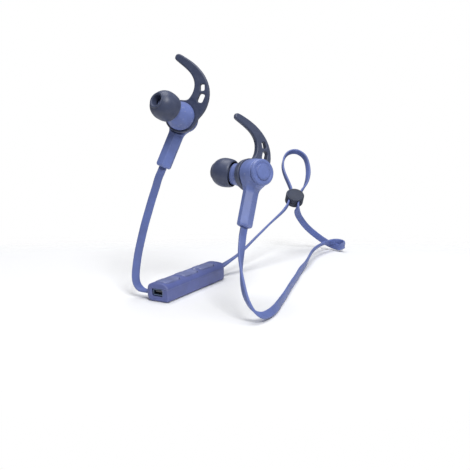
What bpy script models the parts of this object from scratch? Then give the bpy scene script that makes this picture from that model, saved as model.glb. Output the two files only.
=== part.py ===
"""Neckband earphones on a flat cord: two earbuds with stems, ear tips and fins, a control module with
three buttons, and a bead that slides on the cord. They stand as displayed, on the module and two bends
of the cord. Metres, +Z up, X from the right earbud to the left one, Y from the earbuds to the bead."""

import math

import bmesh
import bpy
import numpy as np
from mathutils import Matrix, Vector

GAP = 0.0003  # between neighbours that touch

# Flat cord
CORD_WIDTH = 0.0034
CORD_THICKNESS = 0.0011
CORD_STEP = 0.0054

# Earbuds. Along a bud's own axis, X runs from the cap to the ear and 0 is the stem's middle
BUD_PLACES = {  # centre, direction to the ear, and up along the stem
    "right": ((-0.0219, -0.0326, 0.0755), (-0.144, -0.966, 0.213), (0.379, 0.144, 0.914)),
    "left": ((0.0078, -0.0499, 0.0538), (-0.545, 0.806, -0.229), (0.184, 0.381, 0.906)),
}
BARREL_BACK, BARREL_FRONT = -0.0049, 0.0016
BARREL_BACK_RADIUS, BARREL_RADIUS, BARREL_BORE_RADIUS = 0.0055, 0.0063, 0.0047
CAP_RADIUS, CAP_THICKNESS, CAP_DISC_RADIUS, CAP_GROOVE = 0.0054, 0.0012, 0.0036, 0.0006
STEM_WIDTH, STEM_DEPTH, STEM_BOTTOM = 0.0060, 0.0054, -0.0225
# The stem's six corners, looking down it: ridges at the ear side and the outer side
STEM_CORNERS = [(0.0028, 0.0), (0.0012, 0.0031), (-0.0012, 0.0031), (-0.0026, 0.0),
                (-0.0012, -0.0031), (0.0012, -0.0031)]
SLEEVE_BACK, SLEEVE_FRONT = BARREL_FRONT + GAP, 0.0047
SLEEVE_BORE_RADIUS, SLEEVE_RADIUS = 0.0058, 0.0068
DOME_START, DOME_RADIUS, DOME_HEIGHT = 0.0050, 0.0060, 0.0044
NOZZLE_ROOT, NOZZLE_LENGTH, NOZZLE_RADIUS, NOZZLE_BORE = 0.0054, 0.0122, 0.0022, 0.0015
NOZZLE_FORWARD, NOZZLE_UP = math.radians(33), math.radians(5)
TIP_START, TIP_LENGTH, TIP_RADIUS, TIP_BORE = 0.0062, 0.0094, 0.0061, 0.0020
FIN_LEAN = math.radians(4)
# Fin outline in the plane across the bud's axis: forward from the axis, then up
FIN_OUTER = [(-0.0066, 0.0008), (-0.0081, 0.0042), (-0.0086, 0.0085), (-0.0078, 0.0129),
             (-0.0052, 0.0172), (-0.0011, 0.0205), (0.0036, 0.0225), (0.0092, 0.0233)]
FIN_END = [(0.0106, 0.0231), (0.0113, 0.0222)]
FIN_INNER = [(0.0108, 0.0213), (0.0064, 0.0198), (0.0023, 0.0175), (-0.0003, 0.0145),
             (-0.0010, 0.0115), (-0.0007, 0.0088), (0.0004, 0.0066)]
FIN_WINDOWS = [  # middle, size across and along the fin, and its slant
    ((-0.0052, 0.0100), (0.0024, 0.0039), math.radians(2)),
    ((-0.0040, 0.0142), (0.0014, 0.0021), math.radians(-22)),
]

# Control module: its own X runs along it from the charging port
MODULE_PLACE = (-0.0328, -0.0487, 0.0)
MODULE_TURN = math.radians(60.9)
MODULE_LENGTH, MODULE_WIDTH, MODULE_HEIGHT = 0.0500, 0.0115, 0.0080
MODULE_WALL, MODULE_SPLIT = 0.0012, 0.0052
MODULE_RIGHT_CORNER, MODULE_LEFT_CORNER = 0.0008, 0.0024  # along the bottom
MODULE_DOME = 0.0034  # height of the section's arched top
BUTTON_LENGTH, BUTTON_WIDTH, BUTTON_PITCH = 0.0114, 0.0064, 0.0144
FIRST_BUTTON = 0.0082
LIGHT_AT = 0.0298
BUTTON_BOTTOM, BUTTON_RISE = 0.0062, 0.0003
PORT_WIDTH, PORT_HEIGHT, PORT_MIDDLE = 0.0054, 0.0033, 0.0037
RIGHT_CORD_AT, RIGHT_CORD_HEIGHT, MAIN_CORD_HEIGHT = 0.0033, 0.0029, 0.0040

# Sliding bead: two strands pass through it side by side
SLIDER_PLACE = (0.0320, 0.0559, 0.0283)
SLIDER_FACE = (0.110, -0.552, 0.826)  # out of its round top
SLIDER_TRAVEL = (0.198, 0.818, 0.540)  # along the strands, towards the loop
SLIDER_RADIUS, SLIDER_THICKNESS, STRAND_SPACING = 0.0049, 0.0055, 0.0053

# Cord routes: each point, then the direction across the cord's flat width there
CORD_RIGHT = [
    (-0.0317, -0.0362, 0.0520, -0.92, 0.18, 0.34),
    (-0.0333, -0.0367, 0.0473, -0.93, 0.14, 0.33), (-0.0350, -0.0371, 0.0421, -0.94, 0.10, 0.32),
    (-0.0366, -0.0376, 0.0368, -0.95, 0.06, 0.29), (-0.0383, -0.0382, 0.0310, -0.96, 0.03, 0.27),
    (-0.0398, -0.0389, 0.0250, -0.97, 0.00, 0.24), (-0.0411, -0.0396, 0.0192, -0.98, -0.03, 0.18),
    (-0.0420, -0.0402, 0.0136, -0.98, -0.10, 0.10), (-0.0424, -0.0407, 0.0090, -0.96, -0.22, 0.00),
    (-0.0419, -0.0409, 0.0056, -0.85, -0.45, -0.20), (-0.0404, -0.0411, 0.0036, -0.65, -0.70, -0.20),
]
CORD_MODULE_TO_SLIDER = [
    (-0.0041, 0.0012, 0.0051, -0.80, 0.53, -0.25), (-0.0008, 0.0049, 0.0066, -0.72, 0.55, -0.40),
    (0.0032, 0.0100, 0.0087, -0.62, 0.57, -0.52), (0.0070, 0.0158, 0.0112, -0.56, 0.58, -0.59),
    (0.0106, 0.0218, 0.0136, -0.55, 0.58, -0.60), (0.0142, 0.0278, 0.0159, -0.53, 0.58, -0.61),
    (0.0178, 0.0338, 0.0182, -0.50, 0.58, -0.63), (0.0213, 0.0394, 0.0203, -0.44, 0.58, -0.67),
    (0.0244, 0.0443, 0.0222, -0.33, 0.58, -0.73), (0.0266, 0.0480, 0.0239, -0.18, 0.57, -0.79),
]
# The loop lies in the bead's own plane: from its middle to the left one's side, along the strands, and
# how far the band is twisted there, in degrees
LOOP_ROUTE = [(-0.0035, 0.0076, 0), (-0.0051, 0.0110, 0), (-0.0072, 0.0152, -2), (-0.0091, 0.0196, -3),
              (-0.0104, 0.0244, 0), (-0.0107, 0.0296, 2), (-0.0098, 0.0346, 4), (-0.0078, 0.0375, 6),
              (-0.0050, 0.0388, 8), (-0.0020, 0.0379, 12), (0.0007, 0.0352, 18), (0.0027, 0.0304, 26),
              (0.0040, 0.0250, 34), (0.0046, 0.0196, 36), (0.0045, 0.0144, 28), (0.0037, 0.0096, 14)]
CORD_SLIDER_TO_LEFT = [
    (0.0331, 0.0497, 0.0226, 0.10, 0.58, -0.80), (0.0336, 0.0510, 0.0202, 0.20, 0.62, -0.74),
    (0.0350, 0.0531, 0.0176, 0.30, 0.66, -0.62), (0.0369, 0.0551, 0.0148, 0.36, 0.70, -0.50),
    (0.0392, 0.0569, 0.0120, 0.38, 0.74, -0.42), (0.0427, 0.0586, 0.0087, 0.32, 0.82, -0.36),
    (0.0470, 0.0588, 0.0054, 0.20, 0.92, -0.24), (0.0511, 0.0570, 0.0031, 0.26, 0.95, -0.06),
    (0.0546, 0.0539, 0.0021, 0.46, 0.84, 0.16), (0.0571, 0.0510, 0.0026, 0.60, 0.48, 0.58),
    (0.0585, 0.0508, 0.0036, 0.55, 0.12, 0.80), (0.0581, 0.0528, 0.0042, 0.30, 0.05, 0.93),
    (0.0560, 0.0545, 0.0045, 0.10, 0.00, 0.99), (0.0528, 0.0544, 0.0046, -0.05, 0.05, 0.98),
    (0.0492, 0.0517, 0.0047, -0.22, 0.40, 0.86), (0.0455, 0.0464, 0.0045, -0.34, 0.78, 0.42),
    (0.0420, 0.0394, 0.0041, -0.28, 0.88, 0.30), (0.0393, 0.0316, 0.0035, -0.25, 0.68, 0.62),
    (0.0369, 0.0215, 0.0028, -0.18, 0.40, 0.88), (0.0342, 0.0103, 0.0021, -0.12, 0.15, 0.98),
    (0.0314, -0.0007, 0.0018, -0.08, 0.05, 0.99), (0.0287, -0.0117, 0.0018, -0.06, 0.00, 1.00),
    (0.0260, -0.0232, 0.0018, -0.06, 0.00, 1.00), (0.0234, -0.0347, 0.0018, -0.08, 0.00, 1.00),
    (0.0209, -0.0462, 0.0018, -0.12, 0.02, 0.99), (0.0182, -0.0572, 0.0018, -0.22, 0.10, 0.97),
    (0.0156, -0.0670, 0.0018, -0.36, 0.30, 0.88), (0.0126, -0.0737, 0.0018, -0.40, 0.55, 0.73),
    (0.0098, -0.0776, 0.0026, -0.38, 0.80, 0.45), (0.0073, -0.0789, 0.0046, -0.28, 0.96, 0.02),
    (0.0056, -0.0785, 0.0069, -0.30, 0.93, -0.22), (0.0043, -0.0773, 0.0094, -0.36, 0.86, -0.37),
    (0.0033, -0.0750, 0.0125, -0.34, 0.72, -0.60), (0.0026, -0.0719, 0.0163, -0.13, 0.76, -0.63),
    (0.0023, -0.0688, 0.0203, 0.25, 0.76, -0.60), (0.0024, -0.0655, 0.0244, 0.65, 0.62, -0.44),
    (0.0028, -0.0624, 0.0283, 0.79, 0.51, -0.36),
]


def new_collection(name):
    collection = bpy.data.collections.new(name)
    bpy.context.scene.collection.children.link(collection)
    return collection


for old in list(bpy.data.objects):
    bpy.data.objects.remove(old)
PARTS = new_collection("neckband_earphones")
CUTTERS = new_collection("cutters")


def material(name, colour, roughness, metallic=0.0):
    made = bpy.data.materials.new(name)
    made.use_nodes = True
    shader = made.node_tree.nodes["Principled BSDF"]
    shader.inputs["Base Color"].default_value = (*colour, 1.0)
    shader.inputs["Roughness"].default_value = roughness
    shader.inputs["Metallic"].default_value = metallic
    made.diffuse_color = (*colour, 1.0)
    return made


BLUE = material("blue_plastic", (0.125, 0.155, 0.47), 0.45)
BLUE_CORD = material("blue_cord", (0.12, 0.15, 0.45), 0.55)
NAVY = material("navy_silicone", (0.060, 0.072, 0.150), 0.55)
DARK = material("dark_plastic", (0.020, 0.024, 0.045), 0.40)
BOARD = material("circuit_green", (0.020, 0.120, 0.060), 0.50)
FOIL = material("battery_foil", (0.60, 0.62, 0.64), 0.35, 0.8)
STEEL = material("steel", (0.55, 0.56, 0.58), 0.30, 1.0)
FILM = material("diaphragm_film", (0.45, 0.40, 0.28), 0.30)
LIGHT = material("clear_light_pipe", (0.75, 0.78, 0.82), 0.20)


def add(name, data, parent=None, mat=None, collection=PARTS):
    obj = bpy.data.objects.new(name, data)
    collection.objects.link(obj)
    obj.parent = parent
    if mat:
        obj.data.materials.append(mat)
    if collection is CUTTERS:
        obj.hide_render = True
        obj.display_type = "WIRE"
    return obj


def empty(name, place, turn, parent=None):
    """An empty at place, whose axes are turn's columns."""
    obj = add(name, None, parent)
    obj.matrix_local = Matrix.Translation(place) @ turn.to_4x4()
    return obj


def axes(x, z):
    """The rotation whose X is along x and whose Z is as near z as it can be."""
    x = Vector(x).normalized()
    y = Vector(z).cross(x).normalized()
    return Matrix((x, y, x.cross(y))).transposed()


def bevel(obj, width, segments=2):
    made = obj.modifiers.new("bevel", "BEVEL")
    made.width = width
    made.segments = segments
    made.limit_method = "ANGLE"


def boolean(obj, other, operation="DIFFERENCE"):
    made = obj.modifiers.new(operation.lower(), "BOOLEAN")
    made.operation = operation
    made.object = other
    made.solver = "EXACT"


def smooth_faces(obj):
    obj.data.shade_smooth()
    obj.data.set_sharp_from_angle(angle=math.radians(35))


def block(name, size, middle, parent, mat=None, collection=PARTS, top=(1.0, 1.0)):
    """A box. Its top face is scaled by top across X and Y."""
    shape = bmesh.new()
    bmesh.ops.create_cube(shape, size=1.0)
    for vert in shape.verts:
        for axis in (0, 1):
            vert.co[axis] *= size[axis] * (top[axis] if vert.co.z > 0 else 1.0)
        vert.co.z *= size[2]
    mesh = bpy.data.meshes.new(name)
    shape.to_mesh(mesh)
    shape.free()
    obj = add(name, mesh, parent, mat, collection)
    obj.location = middle
    return obj


def turned(name, profile, parent, mat=None, collection=PARTS, ring=False, steps=28, along_x=True):
    """A profile of (radius, distance) points, top to bottom on its outer side, turned about the axis."""
    ends = len(profile) if ring else len(profile) - 1
    edges = [(i, (i + 1) % len(profile)) for i in range(ends)]
    mesh = bpy.data.meshes.new(name)
    mesh.from_pydata([(radius, 0.0, z) for radius, z in profile], edges, [])
    obj = add(name, mesh, parent, mat, collection)
    screw = obj.modifiers.new("turn", "SCREW")
    screw.steps = screw.render_steps = steps
    screw.use_merge_vertices = True
    screw.merge_threshold = 0.00001
    screw.use_smooth_shade = True
    if along_x:
        obj.rotation_euler = (0.0, math.pi / 2, 0.0)
    return obj


def arc(middle, radii, start, end, count):
    """Points on an ellipse, angles in degrees."""
    angles = np.radians(np.linspace(start, end, count))
    return [(middle[0] + radii[0] * math.cos(a), middle[1] + radii[1] * math.sin(a)) for a in angles]


def rounded_box(width, height, radii, count=5):
    """Outline of a box about its middle with its own radius at each corner, from the right bottom one."""
    outline = []
    corners = ((1, -1, -90), (1, 1, 0), (-1, 1, 90), (-1, -1, 180))
    for (right, up, start), radius in zip(corners, radii, strict=True):
        middle = (right * (width / 2 - radius), up * (height / 2 - radius))
        outline += arc(middle, (radius, radius), start, start + 90, count)
    return outline


def slab(name, outlines, thickness, edge, parent, mat=None, collection=PARTS):
    """A flat outline with any holes, extruded to thickness in its own Z, its edges rounded, as a mesh."""
    data = bpy.data.curves.new(name, "CURVE")
    data.dimensions = "2D"
    data.fill_mode = "BOTH"
    data.extrude = thickness / 2 - edge
    data.bevel_depth = edge
    data.bevel_resolution = 1
    data.offset = -edge
    for outline in outlines:
        spline = data.splines.new("POLY")
        spline.points.add(len(outline) - 1)
        spline.use_cyclic_u = True
        for point, (x, y) in zip(spline.points, outline, strict=True):
            point.co = (x, y, 0.0, 1.0)
    curve = add(name + "_outline", data)
    mesh = bpy.data.meshes.new_from_object(curve.evaluated_get(bpy.context.evaluated_depsgraph_get()))
    bpy.data.objects.remove(curve)
    shape = bmesh.new()
    shape.from_mesh(mesh)
    bmesh.ops.remove_doubles(shape, verts=shape.verts, dist=0.00001)
    bmesh.ops.recalc_face_normals(shape, faces=shape.faces)
    shape.to_mesh(mesh)
    shape.free()
    mesh.name = name
    return add(name, mesh, parent, mat, collection)


def smooth(points, count):
    """count points evenly along the smooth curve through points. Columns past the third go along."""
    points = np.array(points)
    at = np.concatenate([[0.0], np.cumsum(np.linalg.norm(np.diff(points[:, :3], axis=0), axis=1))])
    gaps = np.diff(at)
    bend, pull = np.eye(len(at)), np.zeros_like(points)
    for i in range(1, len(at) - 1):
        bend[i, i - 1 : i + 2] = gaps[i - 1], 2 * (gaps[i - 1] + gaps[i]), gaps[i]
        slopes = (points[i + 1] - points[i]) / gaps[i], (points[i] - points[i - 1]) / gaps[i - 1]
        pull[i] = 6 * (slopes[0] - slopes[1])
    curving = np.linalg.solve(bend, pull)
    where = np.linspace(0.0, at[-1], count)
    k = np.clip(np.searchsorted(at, where, side="right") - 1, 0, len(gaps) - 1)
    after, before = ((where - at[k]) / gaps[k])[:, None], ((at[k + 1] - where) / gaps[k])[:, None]
    bent = (before**3 - before) * curving[k] + (after**3 - after) * curving[k + 1]
    return before * points[k] + after * points[k + 1] + bent * gaps[k][:, None] ** 2 / 6


def flat_cord(name, route):
    """A flat band along the route. Each point's tilt turns the band's width to its given direction."""
    rough = np.array(route)[:, :3]
    length = np.linalg.norm(np.diff(rough, axis=0), axis=1).sum()
    stations = smooth(route, max(4, round(length / CORD_STEP) + 1))
    data = bpy.data.curves.new(name, "CURVE")
    data.dimensions = "3D"
    data.twist_mode = "Z_UP"
    data.fill_mode = "FULL"
    data.use_fill_caps = True
    data.bevel_resolution = 2
    data.bevel_depth = CORD_THICKNESS / 2
    data.extrude = (CORD_WIDTH - CORD_THICKNESS) / 2
    spline = data.splines.new("POLY")
    spline.points.add(len(stations) - 1)
    places = [Vector(station[:3]) for station in stations]
    for i, point in enumerate(spline.points):
        ahead = (places[min(i + 1, len(places) - 1)] - places[i]).normalized()
        behind = (places[i] - places[max(i - 1, 0)]).normalized()
        along = (ahead + behind).normalized()
        upright = (Vector((0, 0, 1)) - along * along.z).normalized()
        across = Vector(stations[i][3:])
        across = (across - along * across.dot(along)).normalized()
        point.co = (*places[i], 1.0)
        point.tilt = math.atan2(along.dot(upright.cross(across)), upright.dot(across))
    return add(name, data, None, BLUE_CORD)


def build_rear_shell(side, bud):
    """Barrel, stem and the neck between them, hollow behind the driver and with the cord's mouth."""
    half_turn = arc((BARREL_RADIUS - 0.0006, BARREL_FRONT - 0.0006), (0.0006, 0.0006), 90, 0, 3)
    profile = [(0.0, BARREL_FRONT), *half_turn, (0.0061, -0.0020), (BARREL_BACK_RADIUS, BARREL_BACK + 0.0004),
               (BARREL_BACK_RADIUS - 0.0004, BARREL_BACK), (0.0, BARREL_BACK)]
    shell = turned("rear_shell_" + side, profile, bud, BLUE)
    stem_top = -SLEEVE_RADIUS - 0.0005
    stem = slab("stem_" + side, [STEM_CORNERS], stem_top - STEM_BOTTOM, 0.0004, bud, None, CUTTERS)
    stem.location.z = (stem_top + STEM_BOTTOM) / 2
    neck_back, neck_height = -STEM_DEPTH / 2 + 0.0001, 0.0062
    neck = block("neck_" + side, (BARREL_FRONT - neck_back, STEM_WIDTH * 0.98, neck_height),
                 ((BARREL_FRONT + neck_back) / 2, 0.0, stem_top - 0.0022 + neck_height / 2),
                 bud, None, CUTTERS, top=(1.0, 1.45))
    bevel(neck, 0.0012, 1)
    hollow_depth = 0.0050
    hollow = turned("barrel_hollow_" + side, [(0.0, 0.0), (BARREL_BORE_RADIUS, 0.0),
                    (BARREL_BORE_RADIUS, -hollow_depth), (0.0, -hollow_depth)], bud, None, CUTTERS)
    hollow.location = (BARREL_FRONT + 0.0001, 0.0, 0.0)
    mouth = block("cord_mouth_" + side, (CORD_THICKNESS + 2 * GAP, CORD_WIDTH + 2 * GAP, 0.0060),
                  (0.0, 0.0, STEM_BOTTOM + 0.0029), bud, None, CUTTERS)
    boolean(shell, stem, "UNION")
    boolean(shell, neck, "UNION")
    boolean(shell, hollow)
    boolean(shell, mouth)
    anchor_size = (CORD_THICKNESS, CORD_WIDTH, 0.0040)
    anchor_middle = (0.0, 0.0, STEM_BOTTOM + 0.0010 + GAP + anchor_size[2] / 2)
    block("cord_anchor_" + side, anchor_size, anchor_middle, bud, DARK)


def build_cap(side, bud):
    back = BARREL_BACK - GAP - CAP_THICKNESS
    disc = CAP_DISC_RADIUS
    profile = [(0.0, BARREL_BACK - GAP), (CAP_RADIUS, BARREL_BACK - GAP), (CAP_RADIUS, back + 0.0005),
               (CAP_RADIUS - 0.0004, back), (disc + CAP_GROOVE, back), (disc + CAP_GROOVE, back + 0.0004),
               (disc, back + 0.0004), (disc, back - 0.0001), (disc - 0.0002, back - 0.0003),
               (0.0, back - 0.0003)]
    turned("outer_cap_" + side, profile, bud, BLUE)


def build_front_shell(side, bud, nozzle):
    """Rim inside the sleeve, dome, and nozzle at a slant, hollow from its back to the nozzle's mouth."""
    rim, back, wall = SLEEVE_BORE_RADIUS - GAP, SLEEVE_BACK, 0.0009
    dome = arc((0.0, DOME_START + 0.0004), (DOME_RADIUS, DOME_HEIGHT), 90, 0, 8)
    shell = turned("front_shell_" + side, [*dome, (DOME_RADIUS, DOME_START), (rim, DOME_START),
                   (rim, back), (0.0, back)], bud, BLUE)
    collar = NOZZLE_RADIUS + 0.0009
    tube = turned("nozzle_" + side, [(0.0, NOZZLE_LENGTH), (NOZZLE_RADIUS, NOZZLE_LENGTH),
                  (NOZZLE_RADIUS, 0.0053), (collar, 0.0036), (collar, 0.0), (0.0, 0.0)],
                  nozzle, None, CUTTERS, steps=20, along_x=False)
    inside = arc((0.0, DOME_START), (DOME_RADIUS - wall, DOME_HEIGHT - wall), 90, 0, 6)
    hollow = turned("dome_hollow_" + side, [*inside, (rim - wall, DOME_START - 0.0002),
                    (rim - wall, back - 0.0001), (0.0, back - 0.0001)], bud, None, CUTTERS)
    bore = turned("nozzle_bore_" + side, [(0.0, NOZZLE_LENGTH + 0.0001), (NOZZLE_BORE, NOZZLE_LENGTH + 0.0001),
                  (NOZZLE_BORE, 0.0010), (0.0, 0.0010)], nozzle, None, CUTTERS, steps=16, along_x=False)
    boolean(shell, tube, "UNION")
    boolean(shell, hollow)
    boolean(shell, bore)
    screen_top = NOZZLE_LENGTH - 0.0004
    turned("nozzle_screen_" + side, [(0.0, screen_top), (NOZZLE_BORE - GAP, screen_top),
           (NOZZLE_BORE - GAP, screen_top - 0.0004), (0.0, screen_top - 0.0004)],
           nozzle, STEEL, steps=16, along_x=False)


def build_ear_tip(side, nozzle):
    """A soft mushroom: a sleeve on the nozzle, and a skirt folded back over it, open at its back."""
    wall, sleeve = 0.0008, NOZZLE_RADIUS + GAP
    belly = TIP_START + 0.0038
    front = TIP_START + TIP_LENGTH
    outside = arc((0.0018, belly), (TIP_RADIUS - 0.0018, front - belly), 84, 0, 9)
    skirt_back = [(TIP_RADIUS - 0.0001, TIP_START + 0.0016), (TIP_RADIUS - 0.0006, TIP_START),
                  (TIP_RADIUS - 0.0012, TIP_START + 0.0001)]
    inner_radii = (TIP_RADIUS - wall - 0.0030, front - belly - 0.0018)
    inside = arc((0.0030, belly), inner_radii, 0, 80, 6)
    stop = NOZZLE_LENGTH + GAP
    sleeve_back = TIP_START + 0.0008
    profile = [*outside, *skirt_back, *inside, (sleeve + 0.0007, sleeve_back + 0.0003),
               (sleeve + 0.0005, sleeve_back), (sleeve, sleeve_back), (sleeve, stop),
               (TIP_BORE, stop + 0.0002), (TIP_BORE, front - 0.0003)]
    turned("ear_tip_" + side, profile, nozzle, NAVY, ring=True, steps=32, along_x=False)


def build_fin_sleeve(side, sign, bud):
    """A ring round the joint between the shells, with a curved fin that has two windows."""
    back, front, bore, outer = SLEEVE_BACK, SLEEVE_FRONT, SLEEVE_BORE_RADIUS, SLEEVE_RADIUS
    profile = [(bore + 0.0005, front), (outer - 0.0001, front - 0.0007), (outer, back + 0.0007),
               (outer - 0.0003, back), (bore, back), (bore, front - 0.0003)]
    sleeve = turned("fin_sleeve_" + side, profile, bud, NAVY, ring=True, steps=36)
    root = (bore + outer) / 2
    outline = [tuple(p) for p in smooth([(*p, 0.0) for p in FIN_OUTER], 15)[:, :2]]
    outline += FIN_END
    outline += [tuple(p) for p in smooth([(*p, 0.0) for p in FIN_INNER], 12)[:, :2]]
    outline += arc((0.0, 0.0), (root, root), 102, 158, 5)
    windows = []
    for (x, y), (across, along), slant in FIN_WINDOWS:
        turn = Matrix.Rotation(slant, 2)
        corners = rounded_box(across, along, [across * 0.3] * 4, 3)
        windows.append([tuple(turn @ Vector(corner) + Vector((x, y))) for corner in corners])
    outlines = [[(sign * x, y) for x, y in points] for points in [outline, *windows]]
    fin = slab("fin_" + side, outlines, front - back, 0.0005, bud, None, CUTTERS)
    # The outline's X and Y become the bud's Y and Z
    upright = Matrix(((0, 0, 1), (1, 0, 0), (0, 1, 0))).to_4x4()
    lean = Matrix.Rotation(FIN_LEAN, 4, "Y")
    fin.matrix_local = Matrix.Translation(((back + front) / 2, 0.0, 0.0)) @ lean @ upright
    boolean(sleeve, fin, "UNION")


def build_driver(side, bud):
    """The moving-coil driver inside the barrel: its frame, magnet and diaphragm."""
    frame_radius = BARREL_BORE_RADIUS - GAP
    magnet_radius, back = 0.0031, -0.0020
    frame = [(frame_radius, 0.0014), (frame_radius, back), (magnet_radius + GAP, back),
             (magnet_radius + GAP, back + 0.0007), (frame_radius - 0.0006, back + 0.0007),
             (frame_radius - 0.0006, 0.0014)]
    turned("driver_frame_" + side, frame, bud, STEEL, ring=True, steps=24)
    turned("driver_magnet_" + side, [(0.0, 0.0004), (magnet_radius, 0.0004), (magnet_radius, back - 0.0006),
           (0.0, back - 0.0006)], bud, STEEL, steps=20)
    film = DOME_RADIUS - 0.0018
    turned("diaphragm_" + side, [(0.0, 0.0029), (0.0016, 0.0026), (0.0022, 0.0021), (film, 0.0024),
           (film, 0.0020), (0.0022, 0.0017), (0.0, 0.0022)], bud, FILM, steps=24)


def build_bud(side):
    centre, to_ear, up = BUD_PLACES[side]
    sign = 1 if side == "left" else -1
    bud = empty("bud_" + side, centre, axes(to_ear, up))
    level = math.cos(NOZZLE_UP)
    slant = Vector((math.cos(NOZZLE_FORWARD) * level, sign * math.sin(NOZZLE_FORWARD) * level,
                    math.sin(NOZZLE_UP)))
    turn = slant.to_track_quat("Z", "Y").to_matrix()
    nozzle = empty("nozzle_axis_" + side, (NOZZLE_ROOT, 0.0, 0.0), turn, bud)
    build_rear_shell(side, bud)
    build_cap(side, bud)
    build_front_shell(side, bud, nozzle)
    build_ear_tip(side, nozzle)
    build_fin_sleeve(side, sign, bud)
    build_driver(side, bud)


def module_body(name, module, collection):
    """The module's outer shape: its section along it, cut to its rounded plan."""
    half, right, left = MODULE_WIDTH / 2, MODULE_RIGHT_CORNER, MODULE_LEFT_CORNER
    section = [*arc((left - half, left), (left, left), 180, 270, 5),
               *arc((half - right, right), (right, right), 270, 360, 4), *dome_arc(half)]
    body = slab(name, [section], MODULE_LENGTH, 0.0005, module, BLUE, collection)
    body.matrix_local = across_module(MODULE_LENGTH / 2)
    return body


def dome_arc(half, rise=0.0, count=9):
    """The section's arched top from half its width to the right to half to the left."""
    steepest = math.degrees(math.acos(2 * half / MODULE_WIDTH))
    return arc((0.0, MODULE_HEIGHT - MODULE_DOME + rise), (MODULE_WIDTH / 2, MODULE_DOME),
               steepest, 180 - steepest, count)


def across_module(x):
    """Stands an outline in X and Y across the module at x: its X towards the right side, its Y up."""
    return Matrix.Translation((x, 0.0, 0.0)) @ Matrix(((0, 0, 1), (-1, 0, 0), (0, 1, 0))).to_4x4()


def build_module_shells(module):
    plan = rounded_box(MODULE_LENGTH, MODULE_WIDTH, (0.0028, 0.0028, 0.0022, 0.0006), 4)
    wall, split, middle = MODULE_WALL, MODULE_SPLIT, MODULE_LENGTH / 2
    plan_block = slab("module_plan", [plan], 0.0200, 0.0001, module, None, CUTTERS)
    plan_block.location = (middle, 0.0, 0.0)
    cavity = block("module_cavity", (MODULE_LENGTH - 2 * wall, MODULE_WIDTH - 2 * wall, 0.0052),
                   (middle, 0.0, wall + 0.0026), module, None, CUTTERS, top=(1.0, 0.84))
    over = block("over_the_split", (0.07, 0.03, 0.01), (middle, 0.0, split + 0.005), module, None, CUTTERS)
    under = block("under_the_split", (0.07, 0.03, 0.01), (middle, 0.0, split + GAP - 0.005),
                  module, None, CUTTERS)
    port = block("port_cut", (0.0040, PORT_WIDTH, PORT_HEIGHT), (0.0005, 0.0, PORT_MIDDLE),
                 module, None, CUTTERS)
    bevel(port, 0.0007)
    slot = CORD_WIDTH + 2 * GAP, CORD_THICKNESS + 2 * GAP
    right_slot = block("right_cord_slot", (slot[0], 0.0030, slot[1]),
                       (RIGHT_CORD_AT, MODULE_WIDTH / 2 - 0.0005, RIGHT_CORD_HEIGHT), module, None, CUTTERS)
    main_slot = block("main_cord_slot", (0.0030, slot[0], slot[1]),
                      (MODULE_LENGTH - 0.0005, 0.0, MAIN_CORD_HEIGHT), module, None, CUTTERS)
    base = module_body("module_base", module, PARTS)
    for cutter in (cavity, over, port, right_slot, main_slot):
        boolean(base, cutter)
    lid = module_body("module_lid", module, PARTS)
    windows = [block(f"button_window_{i}", (BUTTON_LENGTH + 2 * GAP, BUTTON_WIDTH + 2 * GAP, 0.0060),
                     (FIRST_BUTTON + i * BUTTON_PITCH, 0.0, MODULE_HEIGHT), module, None, CUTTERS)
               for i in range(3)]
    light_hole = turned("light_hole", [(0.0, 0.009), (0.0007, 0.009), (0.0007, 0.005), (0.0, 0.005)],
                        module, None, CUTTERS, steps=12, along_x=False)
    light_hole.location.x = LIGHT_AT
    for cutter in (cavity, under, *windows, light_hole):
        boolean(lid, cutter)
    for shell in (base, lid):
        shell.modifiers.new("plan", "BOOLEAN")
        shell.modifiers["plan"].operation = "INTERSECT"
        shell.modifiers["plan"].object = plan_block


def build_buttons(module):
    """Three sprung key caps in the lid's windows, and the switch under each."""
    for i, name in enumerate(("volume_up", "multifunction", "volume_down")):
        x, half = FIRST_BUTTON + i * BUTTON_PITCH, BUTTON_WIDTH / 2
        section = [(-half, BUTTON_BOTTOM), (half, BUTTON_BOTTOM), *dome_arc(half, BUTTON_RISE, 7)]
        cap = slab("button_" + name, [section], BUTTON_LENGTH, 0.0003, module, BLUE)
        cap.matrix_local = across_module(x)
        block("switch_" + name, (0.0034, 0.0034, 0.0007), (x, 0.0, 0.00535), module, DARK)


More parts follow.
